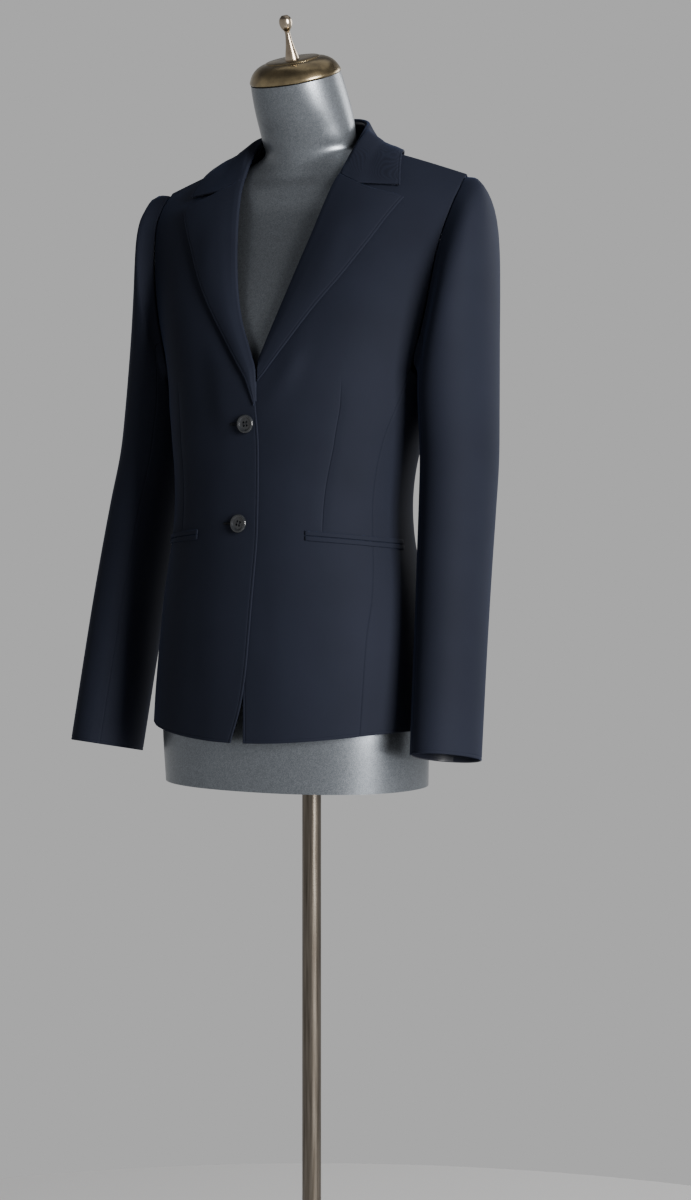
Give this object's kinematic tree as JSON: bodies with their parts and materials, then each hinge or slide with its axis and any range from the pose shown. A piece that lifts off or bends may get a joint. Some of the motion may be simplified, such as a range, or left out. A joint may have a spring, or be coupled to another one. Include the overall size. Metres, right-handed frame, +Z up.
{
  "type": "suit jacket on a dress form stand",
  "caption": "Women's single-breasted wool suit jacket with notched lapels and double-welt pockets, worn by a limbless padded dress form on a pole with a round base.",
  "frame": {"origin": "on the floor, at the centre of the base's underside, under the pole", "axes": "+Z up; the jacket's front faces -Y; the wearer's left is +X"},
  "size_m": [0.4825, 0.3032, 1.4953],
  "materials": {
    "cloth": "fine smooth navy wool suiting, softly pressed",
    "button": "polished dark imitation horn with a raised rim",
    "form_cover": "pale grey knitted cover with a fine glitter",
    "form_brass": "aged satin brass",
    "stand_metal": "dark bronze, brushed"
  },
  "bodies": {
    "root": {"front_left": "cloth", "front_right": "cloth", "side_left": "cloth", "side_right": "cloth", "back_left": "cloth", "back_right": "cloth", "top_sleeve_left": "cloth", "top_sleeve_right": "cloth", "under_sleeve_left": "cloth", "under_sleeve_right": "cloth", "lapel_left": "cloth", "lapel_right": "cloth", "collar": "cloth", "collar_stand": "cloth", "pocket_welt_upper_left": "cloth", "pocket_welt_lower_left": "cloth", "pocket_welt_upper_right": "cloth", "pocket_welt_lower_right": "cloth", "button_upper": "button", "button_lower": "button", "form_torso": "form_cover", "neck_cap": "form_brass", "finial": "form_brass", "pole": "stand_metal", "pole_flange": "stand_metal", "base": "stand_metal"}
  },
  "joints": []
}
